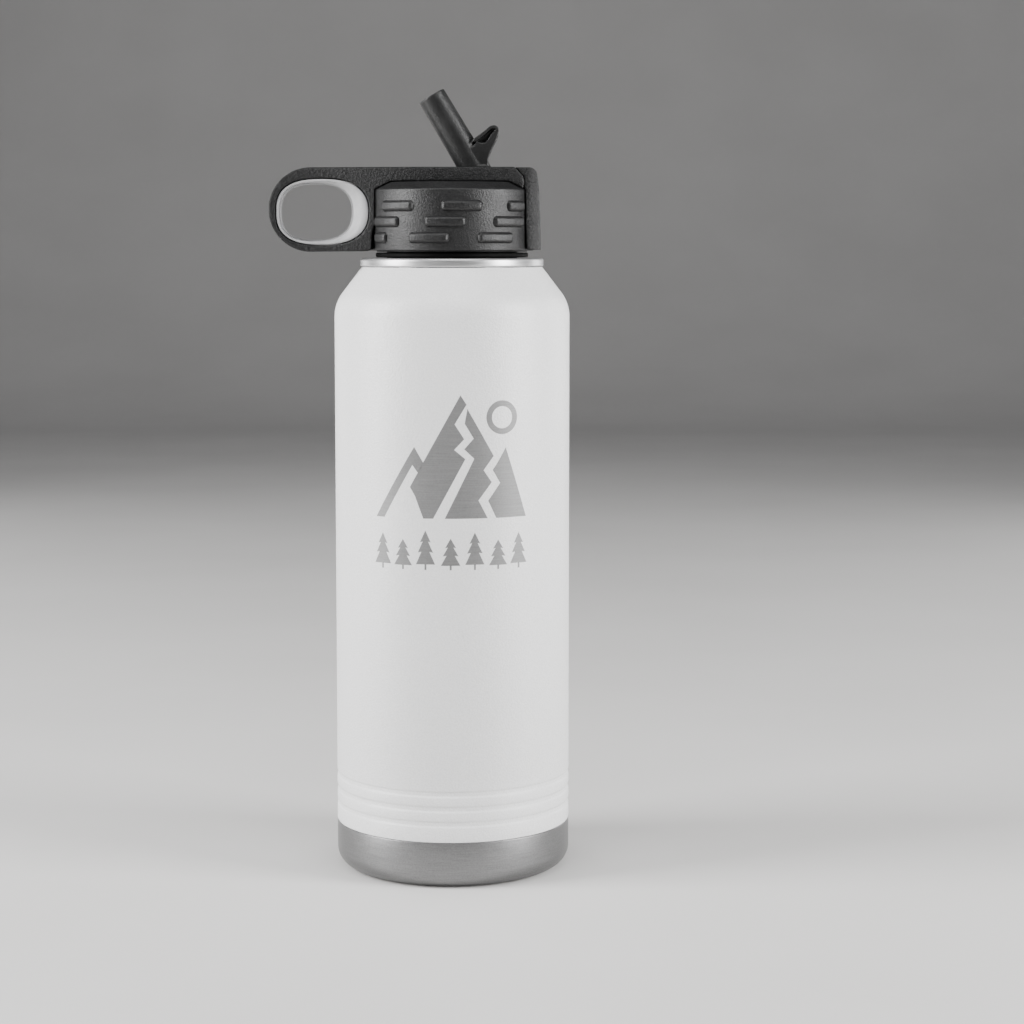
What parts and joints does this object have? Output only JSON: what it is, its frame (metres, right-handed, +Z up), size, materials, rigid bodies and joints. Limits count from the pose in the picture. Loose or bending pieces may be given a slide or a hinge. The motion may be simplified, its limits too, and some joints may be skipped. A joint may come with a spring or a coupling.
{
  "type": "insulated water bottle",
  "caption": "Double-wall steel bottle, white coat over a bare base, with a screw lid, side carry loop, flip-up drinking spout and straw.",
  "frame": {"origin": "middle of the base, on the surface the bottle stands on, which is also on the bottle's axis", "axes": "+Z up along the bottle's axis; the carry loop points to -X; the spout's hinge lies along Y"},
  "size_m": [0.1169, 0.092, 0.3057],
  "materials": {
    "shell_coat": "white powder coat with a fine pebbled texture",
    "base_steel": "satin stainless steel with turning marks",
    "ring_steel": "polished stainless steel",
    "liner_steel": "plain drawn stainless steel",
    "bead_glass": "dark sealing glass",
    "getter_metal": "sintered metal",
    "seal_silicone": "matte black silicone",
    "lid_plastic": "fine-grained black moulding",
    "strap_plastic": "grained black moulding",
    "grip_rubber": "smooth matte light grey",
    "spout_silicone": "soft satin black",
    "straw_plastic": "milky translucent plastic"
  },
  "bodies": {
    "bottle": {"outer_shell": "shell_coat", "base_cup": "base_steel", "vacuum_closure_plate": "liner_steel", "vacuum_seal_bead": "bead_glass", "getter_pill": "getter_metal", "inner_vessel": "liner_steel", "inner_vessel_bottom": "liner_steel", "neck_ring": "ring_steel"},
    "gasket": {"rim_gasket": "seal_silicone"},
    "seal": {"plug_seal": "seal_silicone"},
    "lid": {"thread_plug": "lid_plastic", "plug_base": "lid_plastic", "lid_body": "lid_plastic", "spout_seal": "seal_silicone", "vent_valve": "seal_silicone", "carry_strap": "strap_plastic", "loop_grip": "grip_rubber", "strap_end_cap": "strap_plastic", "straw": "straw_plastic"},
    "spout": {"spout": "spout_silicone"}
  },
  "joints": [
    {"name": "lid_off", "type": "slide", "parent": "bottle", "child": "gasket", "axis": [0, 0, 1], "range_m": [0, 0.235]},
    {"name": "lid_lift", "type": "slide", "parent": "gasket", "child": "seal", "axis": [0, 0, 1], "range_m": [0, 0.0054]},
    {"name": "lid_turn", "type": "hinge", "parent": "seal", "child": "lid", "pos_m": [0, 0, 0.24], "axis": [0, 0, 1], "range_deg": [0, 400]},
    {"name": "spout_flip", "type": "hinge", "parent": "lid", "child": "spout", "pos_m": [0.0122, 0, 0.2694], "axis": [0, -1, 0], "range_deg": [0, 59]}
  ],
  "couplings": [
    {"joint": "lid_lift", "follows": "lid_turn", "m_per_rad": 0.00076394}
  ]
}
